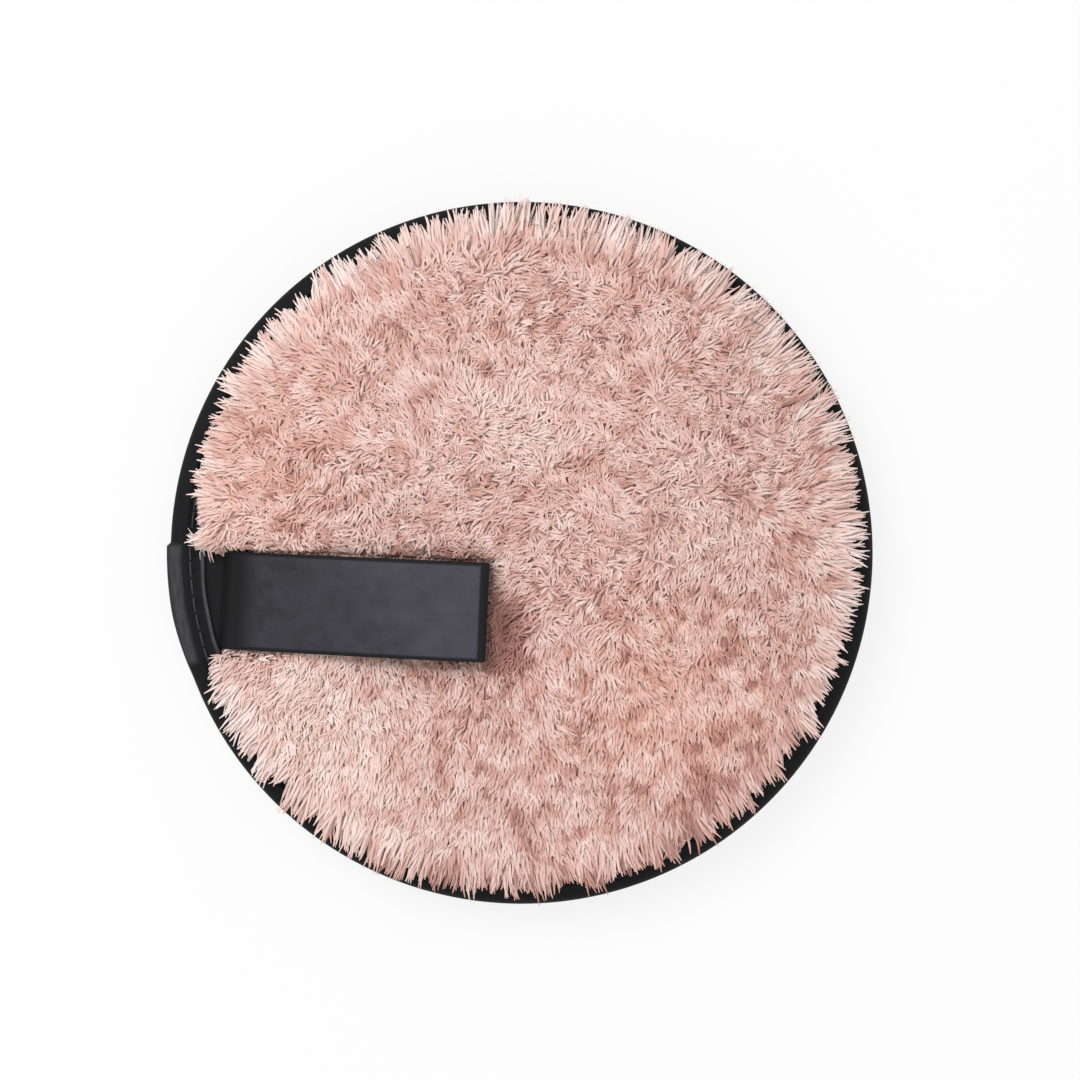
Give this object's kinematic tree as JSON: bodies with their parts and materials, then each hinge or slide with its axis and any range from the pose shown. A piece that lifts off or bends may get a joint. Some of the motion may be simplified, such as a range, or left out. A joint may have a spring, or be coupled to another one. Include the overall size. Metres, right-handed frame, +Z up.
{
  "type": "powder puff",
  "caption": "Round two-faced powder puff of long pink pile on a soft core, rim bound in black tape, with a satin ribbon finger loop that swings up from one edge.",
  "frame": {"origin": "middle of the flat under the back pile, on the surface that the puff lies on", "axes": "+Z up out of the front face, +X towards the right of the picture along the ribbon's length, +Y towards its top"},
  "size_m": [0.1206, 0.12, 0.0237],
  "materials": {
    "sponge": "matte",
    "ground_cloth": "matte",
    "pile": "matte",
    "tape": "satin",
    "thread": "satin",
    "ribbon": "satin"
  },
  "bodies": {
    "pad": {"core_pad": "sponge", "front_ground_cloth": "ground_cloth", "back_ground_cloth": "ground_cloth", "front_pile": "pile", "back_pile": "pile", "edge_binding": "tape", "front_thread": "thread", "back_thread": "thread", "ribbon_tails": "ribbon"},
    "loop": {"ribbon_loop": "ribbon"}
  },
  "joints": [
    {"name": "loop_swing", "type": "hinge", "parent": "pad", "child": "loop", "pos_m": [-0.05048, -0.00791, 0.01332], "axis": [-0.0436, -0.999, 0], "range_deg": [0, 140]}
  ]
}
